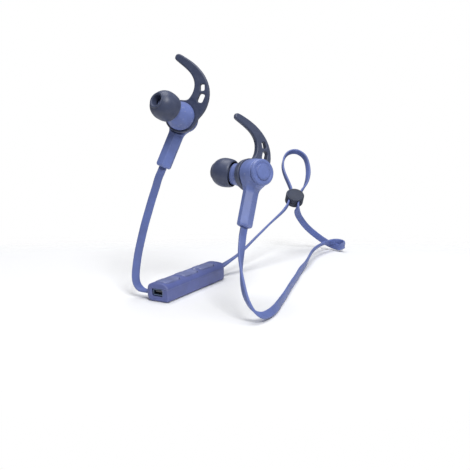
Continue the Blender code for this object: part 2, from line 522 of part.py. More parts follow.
def build_module_inside(module):
    board_top = 0.0047
    block("circuit_board", (0.0392, 0.0076, 0.0006), (0.0258, 0.0, board_top - 0.0003), module, BOARD)
    cell = block("battery_cell", (0.0260, 0.0074, 0.0022), (0.0258, 0.0, 0.0027), module, FOIL)
    bevel(cell, 0.0005)
    block("bluetooth_chip", (0.0040, 0.0040, 0.0006), (0.0150, 0.0, board_top + GAP + 0.0003), module, DARK)
    turned("microphone", [(0.0, 0.0060), (0.0011, 0.0060), (0.0011, board_top + GAP),
           (0.0, board_top + GAP)], module, STEEL, steps=16, along_x=False).location.x = 0.0445
    turned("status_light", [(0.0, 0.0079), (0.0005, 0.0079), (0.0005, board_top + GAP),
           (0.0, board_top + GAP)], module, LIGHT, steps=12, along_x=False).location.x = LIGHT_AT
    socket_length, socket_wall = 0.0048, 0.0003
    middle = (0.0010 + socket_length / 2, 0.0, PORT_MIDDLE)
    socket = block("charging_socket", (socket_length, 0.0048, 0.0026), middle, module, STEEL)
    hollow = block("socket_hollow", (socket_length, 0.0048 - 2 * socket_wall, 0.0026 - 2 * socket_wall),
                   (middle[0] - socket_wall, 0.0, PORT_MIDDLE), module, None, CUTTERS)
    boolean(socket, hollow)
    block("charging_tongue", (0.0034, 0.0032, 0.0006), (0.0036, 0.0, PORT_MIDDLE + 0.0002), module, DARK)
    block("cord_anchor_module_right", (CORD_WIDTH, 0.0012, 0.0020),
          (RIGHT_CORD_AT, 0.0036, RIGHT_CORD_HEIGHT), module, DARK)
    block("cord_anchor_module_main", (0.0016, CORD_WIDTH, 0.0020),
          (0.0474, 0.0, MAIN_CORD_HEIGHT), module, DARK)


def build_slider():
    """A round bead in two halves, with two channels for the strands. Its own X is along the strands."""
    bead = empty("slider_axis", SLIDER_PLACE, axes(SLIDER_TRAVEL, SLIDER_FACE))
    channels = []
    for sign in (-1, 1):
        size = (0.0200, CORD_THICKNESS + 2 * GAP, CORD_WIDTH + 2 * GAP)
        channels.append(block(f"channel_{sign}", size, (0.0, sign * STRAND_SPACING / 2, 0.0),
                              bead, None, CUTTERS))
    half, radius = SLIDER_THICKNESS / 2, SLIDER_RADIUS
    edge = arc((radius - 0.0007, half - 0.0007), (0.0007, 0.0007), 90, 0, 4)
    outside = [(0.0, half), *edge, (radius, GAP / 2), (0.0, GAP / 2)]
    for name, turn in (("slider_top", 0.0), ("slider_base", math.pi)):
        shell = turned(name, outside, bead, DARK, steps=28, along_x=False)
        shell.rotation_euler = (turn, 0.0, 0.0)
        for channel in channels:
            boolean(shell, channel)


def bead_station(right, ahead, twist=0.0):
    """A cord station in the bead's plane, with the band's width out of that plane, twisted by an angle."""
    along, across, out = axes(SLIDER_TRAVEL, SLIDER_FACE).col
    place = Vector(SLIDER_PLACE) + ahead * along - right * across
    return (*place, *(math.sin(twist) * across - math.cos(twist) * out))


def channel_stations(right, aheads):
    """Stations inside the bead's channel on that side."""
    return [bead_station(right * STRAND_SPACING / 2, ahead) for ahead in aheads]


def stem_stations(side, sign, depths):
    """Stations on the stem's axis, this far above its mouth."""
    centre, to_ear, up = BUD_PLACES[side]
    turn = axes(to_ear, up)
    return [(*(Vector(centre) + turn.col[2] * (STEM_BOTTOM + depth)), *(sign * turn.col[1]))
            for depth in depths]


def module_stations(places, width):
    """Stations at places in the module's own frame, the band's width along width there."""
    turn = Matrix.Rotation(MODULE_TURN, 3, "Z")
    width = turn @ Vector(width)
    return [(*(turn @ Vector(place) + Vector(MODULE_PLACE)), *width) for place in places]


def build_cords():
    """Four flat stretches. Two of them and the loop's ends meet in the bead's channels."""
    edge, middle = SLIDER_RADIUS + 0.0003, GAP / 2
    loop = channel_stations(-1, (middle, 0.0025, edge))
    loop += [bead_station(right, ahead, math.radians(twist)) for right, ahead, twist in LOOP_ROUTE]
    loop += channel_stations(1, (edge, 0.0025, middle))
    side, end = MODULE_WIDTH / 2, MODULE_LENGTH
    at, height = RIGHT_CORD_AT, RIGHT_CORD_HEIGHT
    flat_cord("cord_right", [
        *stem_stations("right", -1, (0.0010, -0.0010, -0.0026)), *CORD_RIGHT,
        *module_stations([(at, side + depth, height) for depth in (0.0030, 0.0008, -0.0011)], (-1, 0, 0)),
    ])
    height = MAIN_CORD_HEIGHT
    flat_cord("cord_module_to_slider", [
        *module_stations([(end + depth, 0, height) for depth in (-0.0011, 0.0008, 0.0028)], (0, 1, 0)),
        *CORD_MODULE_TO_SLIDER, *channel_stations(-1, (-edge, -0.0025, -middle)),
    ])
    flat_cord("cord_loop", loop)
    flat_cord("cord_slider_to_left", [
        *channel_stations(1, (-middle, -0.0025, -edge)), *CORD_SLIDER_TO_LEFT,
        *stem_stations("left", -1, (-0.0026, -0.0010, 0.0010)),
    ])


for side in BUD_PLACES:
    build_bud(side)
MODULE = empty("module_axis", MODULE_PLACE, Matrix.Rotation(MODULE_TURN, 3, "Z"))
build_module_shells(MODULE)
build_buttons(MODULE)
build_module_inside(MODULE)
build_slider()
build_cords()
for made in PARTS.objects:
    if made.type == "MESH" and not any(m.type == "SCREW" for m in made.modifiers):
        smooth_faces(made)
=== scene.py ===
"""The looks of the neckband earphones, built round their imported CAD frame. Places are in metres in the
row frame; shapes are in millimetres in the axes of the part that they belong to."""
import math

import bpy
import numpy as np
from mathutils import Matrix, Vector


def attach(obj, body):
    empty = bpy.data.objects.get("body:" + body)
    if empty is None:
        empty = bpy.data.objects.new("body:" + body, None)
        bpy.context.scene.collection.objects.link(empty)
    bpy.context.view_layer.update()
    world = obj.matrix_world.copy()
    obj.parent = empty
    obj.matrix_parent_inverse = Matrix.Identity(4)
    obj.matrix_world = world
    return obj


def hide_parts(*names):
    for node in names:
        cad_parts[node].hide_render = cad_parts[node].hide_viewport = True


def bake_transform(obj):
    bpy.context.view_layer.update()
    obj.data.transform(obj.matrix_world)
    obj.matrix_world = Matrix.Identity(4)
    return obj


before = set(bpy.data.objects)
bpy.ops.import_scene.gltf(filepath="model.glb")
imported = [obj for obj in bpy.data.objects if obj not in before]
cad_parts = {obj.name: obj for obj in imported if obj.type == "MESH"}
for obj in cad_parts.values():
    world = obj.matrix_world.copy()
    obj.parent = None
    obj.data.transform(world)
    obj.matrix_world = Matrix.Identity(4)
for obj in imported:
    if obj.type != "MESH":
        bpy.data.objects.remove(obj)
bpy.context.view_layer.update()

MM = 0.001

# ---------------------------------------------------------------- places, as in the CAD source

BUD_PLACES = {  # centre, direction to the ear, up along the stem
    "right": ((-0.0219, -0.0326, 0.0755), (-0.144, -0.966, 0.213), (0.379, 0.144, 0.914)),
    "left": ((0.0078, -0.0499, 0.0538), (-0.545, 0.806, -0.229), (0.184, 0.381, 0.906)),
}
FRONT = {"right": -1, "left": 1}  # which way along a bud's own Y the face lies
MODULE_PLACE, MODULE_TURN = (-0.0328, -0.0487, 0.0), math.radians(60.9)
SLIDER_PLACE = (0.0320, 0.0559, 0.0283)
SLIDER_FACE, SLIDER_TRAVEL = (0.110, -0.552, 0.826), (0.198, 0.818, 0.540)
NOZZLE_ROOT, NOZZLE_FORWARD, NOZZLE_UP = 5.4, math.radians(33), math.radians(5)
FIN_LEAN = math.radians(4)


def axes(x, z):
    """The rotation whose X is along x and whose Z is as near z as it can be."""
    x = Vector(x).normalized()
    y = Vector(z).cross(x).normalized()
    return Matrix((x, y, x.cross(y))).transposed()


def place(centre, turn):
    """From millimetres in a part's own axes to metres in the row frame."""
    return Matrix.Translation(centre) @ turn.to_4x4() @ Matrix.Scale(MM, 4)


BUDS = {side: place(centre, axes(ear, up)) for side, (centre, ear, up) in BUD_PLACES.items()}
MODULE = place(MODULE_PLACE, Matrix.Rotation(MODULE_TURN, 3, "Z"))
BEAD = place(SLIDER_PLACE, axes(SLIDER_TRAVEL, SLIDER_FACE))


def nozzle_axes(side):
    level = math.cos(NOZZLE_UP)
    slant = Vector((math.cos(NOZZLE_FORWARD) * level, FRONT[side] * math.sin(NOZZLE_FORWARD) * level,
                    math.sin(NOZZLE_UP)))
    return Matrix.Translation((NOZZLE_ROOT, 0, 0)) @ slant.to_track_quat("Z", "Y").to_matrix().to_4x4()


NOZZLES = {side: nozzle_axes(side) for side in BUDS}  # in the bud's axes

# ---------------------------------------------------------------- camera, floor and light

def look_from(location, pitch, lens):
    camera = bpy.data.objects.new("camera", bpy.data.cameras.new("camera"))
    bpy.context.scene.collection.objects.link(camera)
    camera.location = location
    camera.rotation_euler = (math.pi / 2 - pitch, 0.0, 0.0)
    camera.data.sensor_width, camera.data.lens = 36.0, lens
    camera.data.clip_start, camera.data.clip_end = 0.01, 20.0
    bpy.context.scene.camera = camera


look_from((0.0, -0.3832, 0.0934), math.radians(11), 63.19)


def area_light(name, place_at, target, size, power, colour=(1.0, 1.0, 1.0)):
    lamp = bpy.data.lights.new(name, "AREA")
    lamp.shape, lamp.size, lamp.energy, lamp.color = "DISK", size, power, colour
    obj = bpy.data.objects.new(name, lamp)
    bpy.context.scene.collection.objects.link(obj)
    obj.location = place_at
    obj.rotation_euler = (Vector(target) - Vector(place_at)).to_track_quat("-Z", "Y").to_euler()


def light_scene():
    scene = bpy.context.scene
    scene.view_settings.view_transform = "Standard"
    world = bpy.data.worlds.new("studio")
    scene.world = world
    world.use_nodes = True
    nodes, links = world.node_tree.nodes, world.node_tree.links
    nodes.clear()
    out = nodes.new("ShaderNodeOutputWorld")
    mix = nodes.new("ShaderNodeMixShader")
    seen, lit = nodes.new("ShaderNodeBackground"), nodes.new("ShaderNodeBackground")
    seen.inputs["Color"].default_value = (1.0, 1.0, 1.0, 1.0)
    seen.inputs["Strength"].default_value = 1.0
    lit.inputs["Color"].default_value = (0.93, 0.95, 1.0, 1.0)
    lit.inputs["Strength"].default_value = WORLD_LIGHT
    rays = nodes.new("ShaderNodeLightPath")
    links.new(rays.outputs["Is Camera Ray"], mix.inputs["Fac"])
    links.new(lit.outputs[0], mix.inputs[1])
    links.new(seen.outputs[0], mix.inputs[2])
    links.new(mix.outputs[0], out.inputs["Surface"])
    area_light("key", (0.25, -0.75, 0.95), (0.0, 0.0, 0.05), 0.5, KEY_LIGHT)
    area_light("side", (1.0, -0.1, 0.45), (0.0, 0.0, 0.05), 0.5, SIDE_LIGHT)
    area_light("top", (-0.1, 0.25, 1.3), (0.0, 0.0, 0.0), 0.9, TOP_LIGHT)


WORLD_LIGHT, KEY_LIGHT, SIDE_LIGHT, TOP_LIGHT = 0.24, 10.5, 0.5, 10.0
light_scene()

# ---------------------------------------------------------------- materials

class Paint:
    """A Principled material and short ways to add nodes to it."""

    def __init__(self, name, colour, roughness, **sockets):
        self.material = bpy.data.materials.new(name)
        self.material.use_nodes = True
        self.nodes, self.links = self.material.node_tree.nodes, self.material.node_tree.links
        self.shader = self.nodes["Principled BSDF"]
        self.colour = colour
        self.shader.inputs["Base Color"].default_value = (*colour, 1.0)
        self.shader.inputs["Roughness"].default_value = roughness
        self.material.diffuse_color = (*colour, 1.0)
        for socket, value in sockets.items():
            self.shader.inputs[socket.replace("_", " ")].default_value = value
        self.where = self.nodes.new("ShaderNodeTexCoord").outputs["Object"]

    def join(self, source, target):
        self.links.new(source, target)

    def noise(self, scale, detail=3.0, stretch=None, source=None):
        node = self.nodes.new("ShaderNodeTexNoise")
        node.inputs["Scale"].default_value = scale
        node.inputs["Detail"].default_value = detail
        source = source or self.where
        if stretch:
            bend = self.nodes.new("ShaderNodeMapping")
            bend.inputs["Scale"].default_value = stretch
            self.join(source, bend.inputs["Vector"])
            source = bend.outputs[0]
        self.join(source, node.inputs["Vector"])
        return node.outputs["Fac"]

    def cells(self, scale, source=None):
        node = self.nodes.new("ShaderNodeTexVoronoi")
        node.inputs["Scale"].default_value = scale
        self.join(source or self.where, node.inputs["Vector"])
        return node.outputs["Distance"]

    def spread(self, value, low, high, to_low=0.0, to_high=1.0):
        node = self.nodes.new("ShaderNodeMapRange")
        for socket, number in zip(("From Min", "From Max", "To Min", "To Max"),
                                  (low, high, to_low, to_high), strict=True):
            node.inputs[socket].default_value = number
        self.join(value, node.inputs["Value"])
        return node.outputs["Result"]

    def blend(self, amount, first, second):
        """A colour between first and second, each a colour or a socket."""
        node = self.nodes.new("ShaderNodeMix")
        node.data_type = "RGBA"
        self.join(amount, node.inputs[0])
        for socket, value in ((6, first), (7, second)):
            if isinstance(value, tuple):
                node.inputs[socket].default_value = (*value, 1.0)
            else:
                self.join(value, node.inputs[socket])
        return node.outputs[2]

    def edge_highlight_crease_shade(self, value, amount=0.25):
        """value with outer edges painted lighter as a highlight and creases painted darker as shade."""
        bent = self.nodes.new("ShaderNodeNewGeometry").outputs["Pointiness"]
        light = tuple(c + (1.0 - c) * 0.30 for c in self.colour)
        dark = tuple(c * 0.45 for c in self.colour)
        edge = self.blend(self.spread(bent, 0.505, 0.60, 0.0, amount), value, light)
        return self.blend(self.spread(bent, 0.495, 0.42, 0.0, amount * 1.6), edge, dark)

    def bump(self, value, strength, distance, under=None):
        node = self.nodes.new("ShaderNodeBump")
        node.inputs["Strength"].default_value = strength
        node.inputs["Distance"].default_value = distance
        self.join(value, node.inputs["Height"])
        if under:
            self.join(under, node.inputs["Normal"])
        return node.outputs["Normal"]

    def done(self, colour=None, roughness=None, normal=None):
        for value, socket in ((colour, "Base Color"), (roughness, "Roughness"), (normal, "Normal")):
            if value is not None:
                self.join(value, self.shader.inputs[socket])
        return self.material


def shade(colour, gain, grey=0.0):
    """The colour made lighter or darker, and greyer."""
    mean = sum(colour) / 3
    return tuple(max(0.0, (c + (mean - c) * grey) * gain) for c in colour)


def moulded(name, colour, roughness, grain=0.10, mottle=0.09, painted_edge_light=0.30, **sockets):
    """Spark-textured moulded plastic: faint mottling, fine grain, outer edges painted lighter as a highlight
    and creases painted darker as shade.
    """
    paint = Paint(name, colour, roughness, **sockets)
    broad = paint.blend(paint.spread(paint.noise(170.0, 4.0), 0.35, 0.65),
                        shade(colour, 1.0 - mottle, 0.05), shade(colour, 1.0 + mottle))
    fleck = paint.blend(paint.spread(paint.noise(5200.0, 2.0), 0.58, 0.72, 0.0, 0.10), broad,
                        shade(colour, 1.5, 0.2))
    rough = paint.spread(paint.noise(420.0, 5.0), 0.3, 0.7, roughness - 0.05, roughness + 0.06)
    fine = paint.bump(paint.noise(9000.0, 3.0), grain, 0.00003)
    # Outer edges are painted lighter as a highlight and creases painted darker as shade.
    return paint.done(paint.edge_highlight_crease_shade(fleck, painted_edge_light), rough, paint.bump(paint.noise(260.0, 2.0), 0.05, 0.0001, fine))


def silicone(name, colour, roughness):
    """Soft rubber: matte, faint bloom in patches, a little dust, barely grained."""
    paint = Paint(name, colour, roughness, Sheen_Weight=0.08, Sheen_Roughness=0.4)
    bloom = paint.blend(paint.spread(paint.noise(240.0, 5.0), 0.38, 0.66), shade(colour, 0.90),
                        shade(colour, 1.14, 0.12))
    dust = paint.blend(paint.spread(paint.noise(3800.0, 1.0), 0.66, 0.76, 0.0, 0.22), bloom,
                       shade(colour, 2.4, 0.5))
    rough = paint.spread(paint.noise(600.0, 4.0), 0.3, 0.7, roughness - 0.07, roughness + 0.07)
    # Edges are faintly painted lighter as a highlight and creases darker as shade.
    return paint.done(paint.edge_highlight_crease_shade(dust, 0.06), rough, paint.bump(paint.noise(7000.0, 3.0), 0.08, 0.00003))


def band_rubber(name, colour, roughness):
    """The flat cord: extruded rubber with faint lines along it, its rounded edges painted lighter as a
    highlight.
    """
    paint = Paint(name, colour, roughness)
    run = paint.nodes.new("ShaderNodeAttribute")
    run.attribute_name = "run"
    lines = paint.noise(1.0, 2.0, (60.0, 5000.0, 1.0), run.outputs["Vector"])
    patches = paint.blend(paint.spread(paint.noise(130.0, 4.0), 0.35, 0.65), shade(colour, 0.90, 0.08),
                          shade(colour, 1.08))
    streaks = paint.blend(paint.spread(lines, 0.52, 0.75, 0.0, 0.22), patches, shade(colour, 1.35, 0.1))
    rough = paint.spread(paint.noise(500.0, 4.0), 0.3, 0.7, roughness - 0.06, roughness + 0.06)
    fine = paint.bump(paint.noise(8000.0, 2.0), 0.08, 0.00003)
    # The rounded edges are painted lighter as a highlight and creases darker as shade.
    return paint.done(paint.edge_highlight_crease_shade(streaks, 0.2), rough, paint.bump(lines, 0.12, 0.00004, fine))


def metal(name, colour, roughness, scale=2500.0):
    paint = Paint(name, colour, roughness, Metallic=1.0)
    brushed = paint.noise(scale, 3.0, (1.0, 0.12, 1.0))
    tone = paint.blend(brushed, shade(colour, 0.85), shade(colour, 1.12))
    rough = paint.spread(brushed, 0.3, 0.7, roughness - 0.08, roughness + 0.10)
    return paint.done(tone, rough, paint.bump(brushed, 0.10, 0.00002))


def woven_steel(name):
    """Fine wire cloth over the nozzle's mouth."""
    paint = Paint(name, (0.42, 0.43, 0.45), 0.35, Metallic=1.0)
    holes = paint.cells(5200.0)
    tone = paint.blend(paint.spread(holes, 0.25, 0.45), (0.55, 0.56, 0.58), (0.02, 0.02, 0.025))
    return paint.done(tone, None, paint.bump(holes, 0.6, 0.00005))


def circuit(name):
    """Solder mask with paler tracks under it."""
    paint = Paint(name, (0.015, 0.11, 0.055), 0.35, Coat_Weight=0.4, Coat_Roughness=0.2)
    wave = paint.nodes.new("ShaderNodeTexBrick")
    wave.inputs["Scale"].default_value = 900.0
    wave.inputs["Color1"].default_value = (0.012, 0.10, 0.05, 1.0)
    wave.inputs["Color2"].default_value = (0.018, 0.14, 0.07, 1.0)
    wave.inputs["Mortar"].default_value = (0.05, 0.26, 0.12, 1.0)
    wave.inputs["Mortar Size"].default_value = 0.03
    paint.join(paint.where, wave.inputs["Vector"])
    return paint.done(wave.outputs["Color"], None, paint.bump(wave.outputs["Fac"], 0.2, 0.00003))


def film(name):
    """Ribbed polymer diaphragm."""
    paint = Paint(name, (0.45, 0.40, 0.28), 0.28, Coat_Weight=0.3)
    ribs = paint.cells(1500.0)
    return paint.done(paint.blend(ribs, (0.38, 0.33, 0.22), (0.55, 0.50, 0.36)), None,
                      paint.bump(ribs, 0.3, 0.00005))


def light_pipe(name):
    paint = Paint(name, (0.80, 0.84, 0.90), 0.22, Transmission_Weight=0.35, IOR=1.49)
    cloud = paint.noise(2600.0, 2.0)
    return paint.done(paint.blend(cloud, (0.72, 0.77, 0.86), (0.90, 0.92, 0.96)))


BLUE_COLOUR = (0.140, 0.190, 0.455)
BLUE = moulded("blue_plastic", BLUE_COLOUR, 0.42)
MODULE_BLUE = moulded("module_plastic", (0.090, 0.115, 0.320), 0.42)
# The keys are a lighter, greyer copy of the module blue: a painted highlight for the light falling on their
# raised pads.
KEY_BLUE_PAINTED_LIGHTER = moulded("key_plastic_painted_light", (0.138, 0.163, 0.335), 0.48)
CORD_BLUE = band_rubber("cord_rubber", (0.098, 0.140, 0.375), 0.52)
NAVY = silicone("navy_silicone", (0.050, 0.064, 0.125), 0.42)
BEAD_DARK = moulded("bead_plastic", (0.019, 0.028, 0.058), 0.58, painted_edge_light=0.25)
DARK = moulded("black_plastic", (0.020, 0.023, 0.036), 0.40)
STEEL = metal("steel", (0.55, 0.56, 0.58), 0.30)
SOCKET = metal("socket_steel", (0.20, 0.26, 0.38), 0.5)
GOLD = metal("gold_contacts", (0.80, 0.58, 0.24), 0.25)
FOIL = metal("battery_foil", (0.62, 0.63, 0.66), 0.35, 700.0)
SCREEN = woven_steel("nozzle_cloth")
BOARD, FILM, CLEAR = circuit("circuit_green"), film("diaphragm_film"), light_pipe("clear_light_pipe")

# ---------------------------------------------------------------- mesh tools

def piece(name, points, faces, paint, body, nodes, normals=None):
    """A mesh in the row frame that rides on a body and stands for CAD nodes."""
    mesh = bpy.data.meshes.new(name)
    if not isinstance(faces, list):
        faces = [tuple(face) for face in np.asarray(faces, dtype=object)]
    mesh.from_pydata(np.asarray(points).tolist(), [], faces)
    mesh.update()
    mesh.shade_smooth()
    mesh.materials.append(paint)
    if normals is not None:
        mesh.normals_split_custom_set_from_vertices(np.asarray(normals).tolist())
    obj = bpy.data.objects.new(name, mesh)
    bpy.context.scene.collection.objects.link(obj)
    if body:
        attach(obj, body)
    if nodes:
        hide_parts(*nodes)
    return obj


def moved(matrix, points):
    """points through a 4x4 matrix."""
    m = np.array(matrix)
    return np.asarray(points) @ m[:3, :3].T + m[:3, 3]


def arc(middle, radii, start, end, count):
    angles = np.radians(np.linspace(start, end, count))
    return [(middle[0] + radii[0] * math.cos(a), middle[1] + radii[1] * math.sin(a)) for a in angles]


def fillet(outline, radius, count=5, closed=True):
    """The outline with its corners rounded. radius is one number or one for each corner."""
    corners = [np.array(p, float) for p in outline]
    radii = radius if hasattr(radius, "__len__") else [radius] * len(corners)
    made = []
    for i, (corner, r) in enumerate(zip(corners, radii, strict=True)):
        if r <= 0 or (not closed and i in (0, len(corners) - 1)):
            made.append(corner)
            continue
        back, ahead = corners[i - 1] - corner, corners[(i + 1) % len(corners)] - corner
        reach = min(np.linalg.norm(back), np.linalg.norm(ahead)) * 0.48
        back, ahead = back / np.linalg.norm(back), ahead / np.linalg.norm(ahead)
        half = math.acos(max(-1.0, min(1.0, float(back @ ahead)))) / 2
        if half > 1.55:
            made.append(corner)
            continue
        cut = min(r / math.tan(half), reach)
        r = cut * math.tan(half)
        centre = corner + (back + ahead) / np.linalg.norm(back + ahead) * (r / math.sin(half))
        start, end = corner + back * cut - centre, corner + ahead * cut - centre
        turn = math.atan2(start[0] * end[1] - start[1] * end[0], start @ end)
        for k in range(count):
            a = turn * k / (count - 1)
            made.append(centre + np.array((start[0] * math.cos(a) - start[1] * math.sin(a),
                                           start[0] * math.sin(a) + start[1] * math.cos(a))))
    return made


def lathe(profile, steps=72, ring=False, along_x=True):
    """(points, faces) of (radius, distance) points turned about X, or about Z. An open profile starts and
    ends on the axis."""
    rows = [tuple(p) for p in profile]
    points, rings = [], []
    for radius, at in rows:
        first = len(points)
        if radius < 1e-6:
            points.append((0.0, 0.0, at))
            rings.append([first] * steps)
            continue
        for k in range(steps):
            a = 2 * math.pi * k / steps
            points.append((radius * math.cos(a), radius * math.sin(a), at))
        rings.append([first + k for k in range(steps)])
    faces = []
    for one, two in zip(rings, rings[1:] + (rings[:1] if ring else []), strict=False):
        for k in range(steps):
            n = (k + 1) % steps
            corners = [one[k], two[k], two[n], one[n]]
            face = [c for i, c in enumerate(corners) if c != corners[i - 1]]
            if len(set(face)) > 2:
                faces.append(face)
    points = np.array(points)
    if along_x:
        points = points[:, [2, 1, 0]] * (1, 1, -1)
    return points, faces


# Fields: negative inside a shape, about the distance to it outside

def outline_field(flat, outline):
    """Distance in the plane to a closed outline."""
    nearest = np.full(len(flat), 1e9, np.float32)
    inside = np.zeros(len(flat), bool)
    corners = [np.array(p, np.float32) for p in outline]
    for a, b in zip(corners[-1:] + corners[:-1], corners, strict=True):
        edge = b - a
        rel = flat - a
        t = np.clip(rel @ edge / max(float(edge @ edge), 1e-12), 0, 1)
        gap = rel - t[:, None] * edge
        nearest = np.minimum(nearest, (gap * gap).sum(1))
        if a[1] != b[1]:
            crosses = (a[1] <= flat[:, 1]) != (b[1] <= flat[:, 1])
            inside ^= crosses & (flat[:, 0] < a[0] + rel[:, 1] * (edge[0] / edge[1]))
    return np.where(inside, -1, 1) * np.sqrt(nearest)


def inset(outline, r):
    """A convex outline moved in by r."""
    corners = [np.array(p, float) for p in outline]
    area = sum(a[0] * b[1] - a[1] * b[0] for a, b in zip(corners, corners[1:] + corners[:1], strict=True))
    made = []
    for i, corner in enumerate(corners):
        back, ahead = corner - corners[i - 1], corners[(i + 1) % len(corners)] - corner
        normals = [np.array((-e[1], e[0])) / np.linalg.norm(e) * math.copysign(1, area)
                   for e in (back, ahead)]
        made.append(corner + (normals[0] + normals[1]) * r / (1 + normals[0] @ normals[1]))
    return made


def turned(along, away, profile, r):
    """A profile of (radius, distance) points, already inset by r, turned about an axis."""
    whole = [*profile, *[(-radius, at) for radius, at in reversed(profile)]]
    return outline_field(np.stack([away, along], 1), whole) - r


def joined(a, b, k):
    """The union with a fillet of about k."""
    h = np.clip(0.5 + 0.5 * (b - a) / k, 0, 1)
    return b + (a - b) * h - k * h * (1 - h)


def without(a, b, k=0.25):
    """a with b cut away, its new edge rounded."""
    return -joined(-a, b, k)


def common(a, b, k=0.25):
    return -joined(-a, -b, k)


def box_field(p, middle, size, r):
    q = np.abs(p - np.array(middle, np.float32)) - np.array(size, np.float32) / 2 + r
    return np.minimum(q.max(1), 0) + np.linalg.norm(np.maximum(q, 0), axis=1) - r


def sculpt(field, low, high, step):
    """(points, faces, normals) of the surface where the field is 0, by surface nets."""
    low = np.array(low, float)
    counts = np.ceil((np.array(high) - low) / step).astype(int) + 1
    lines = [low[i] + step * np.arange(counts[i]) for i in range(3)]
    lattice = np.stack(np.meshgrid(*lines, indexing="ij"), -1).reshape(-1, 3).astype(np.float32)
    value = field(lattice).reshape(counts)
    total, number = np.zeros((*(counts - 1), 3)), np.zeros(counts - 1)
    crossings = []
    for axis in range(3):
        j, k = (axis + 1) % 3, (axis + 2) % 3
        a = np.moveaxis(value, axis, 0)[:-1]
        b = np.moveaxis(value, axis, 0)[1:]
        cross = (a < 0) != (b < 0)
        share = np.where(cross, a / np.where(cross, a - b, 1), 0)
        cross, share = np.moveaxis(cross, 0, axis), np.moveaxis(share, 0, axis)
        for dj in (0, 1):
            for dk in (0, 1):
                part = [slice(None)] * 3
                part[j] = slice(dj, counts[j] - 1 + dj)
                part[k] = slice(dk, counts[k] - 1 + dk)
                c = cross[tuple(part)]
                number += c
                total[..., axis] += np.where(c, share[tuple(part)], 0)
                total[..., j] += c * dj
                total[..., k] += c * dk
        crossings.append(np.argwhere(cross))
    cells = np.argwhere(number > 0)
    index = np.full(tuple(counts - 1), -1)
    index[tuple(cells.T)] = np.arange(len(cells))
    points = low + step * (cells + total[tuple(cells.T)] / number[tuple(cells.T)][:, None])
    faces = []
    for axis, found in enumerate(crossings):
        j, k = (axis + 1) % 3, (axis + 2) % 3
        found = found[(found[:, j] > 0) & (found[:, k] > 0) & (found[:, j] < counts[j] - 1)
                      & (found[:, k] < counts[k] - 1)]
        back_j, back_k = np.eye(3, dtype=int)[j], np.eye(3, dtype=int)[k]
        ring = [index[tuple((found - move).T)] for move in (back_j + back_k, back_k, 0 * back_k, back_j)]
        quads = np.stack(ring, 1)
        turn = value[tuple(found.T)] >= 0
        quads[turn] = quads[turn][:, ::-1]
        faces.append(quads)
    for _ in range(3):
        distance, slope = field(points.astype(np.float32)), gradient(field, points, 0.1 * step)
        push = distance[:, None] * slope / np.maximum((slope * slope).sum(1), 0.2)[:, None]
        points = points - np.clip(push, -0.5 * step, 0.5 * step)
    normals = gradient(field, points, 0.35 * step)
    normals /= np.maximum(np.linalg.norm(normals, axis=1), 1e-9)[:, None]
    return points, np.concatenate(faces).tolist(), normals


def gradient(field, points, e):
    made = np.empty_like(points)
    for axis in range(3):
        move = np.zeros(3)
        move[axis] = e
        ahead, behind = field((points + move).astype(np.float32)), field((points - move).astype(np.float32))
        made[:, axis] = (ahead - behind) / (2 * e)
    return made


def sculpted(name, field, low, high, step, where, paint, body, nodes):
    points, faces, normals = sculpt(field, low, high, step)
    turn = np.array(where)[:3, :3] / MM
    return piece(name, moved(where, points), faces, paint, body, nodes, normals @ turn.T)


def turned_piece(name, profile, where, paint, body, nodes, slot, **settings):
    points, faces = lathe(profile, **settings)
    obj = piece(name, moved(where, points), faces, paint, body, nodes)
    obj.modifiers.new("flats", "WEIGHTED_NORMAL").keep_sharp = True
    return obj

# ---------------------------------------------------------------- cords

CORD_WIDTH, CORD_THICKNESS = 0.0034, 0.0011
SLIDER_HALF, STRAND_SPACING = 0.0049 + 0.0003, 0.0053
HELD, GIVE = 0.006, 0.032  # how near the bead a strand counts as passing through it, and how far past that the share falls off
# Each point, then the direction across the cord's flat width there
CORD_RIGHT = [
    (-0.0317, -0.0362, 0.0520, -0.92, 0.18, 0.34),
    (-0.0333, -0.0367, 0.0473, -0.93, 0.14, 0.33), (-0.0350, -0.0371, 0.0421, -0.94, 0.10, 0.32),
    (-0.0366, -0.0376, 0.0368, -0.95, 0.06, 0.29), (-0.0383, -0.0382, 0.0310, -0.96, 0.03, 0.27),
    (-0.0398, -0.0389, 0.0250, -0.97, 0.00, 0.24), (-0.0411, -0.0396, 0.0192, -0.98, -0.03, 0.18),
    (-0.0420, -0.0402, 0.0136, -0.98, -0.10, 0.10), (-0.0424, -0.0407, 0.0090, -0.96, -0.22, 0.00),
    (-0.0419, -0.0409, 0.0056, -0.85, -0.45, -0.20), (-0.0404, -0.0411, 0.0036, -0.65, -0.70, -0.20),
]
CORD_MODULE_TO_SLIDER = [
    (-0.0041, 0.0012, 0.0051, -0.80, 0.53, -0.25), (-0.0008, 0.0049, 0.0066, -0.72, 0.55, -0.40),
    (0.0032, 0.0100, 0.0087, -0.62, 0.57, -0.52), (0.0070, 0.0158, 0.0112, -0.56, 0.58, -0.59),
    (0.0106, 0.0218, 0.0136, -0.55, 0.58, -0.60), (0.0142, 0.0278, 0.0159, -0.53, 0.58, -0.61),
    (0.0178, 0.0338, 0.0182, -0.50, 0.58, -0.63), (0.0213, 0.0394, 0.0203, -0.44, 0.58, -0.67),
    (0.0244, 0.0443, 0.0222, -0.33, 0.58, -0.73), (0.0266, 0.0480, 0.0239, -0.18, 0.57, -0.79),
]
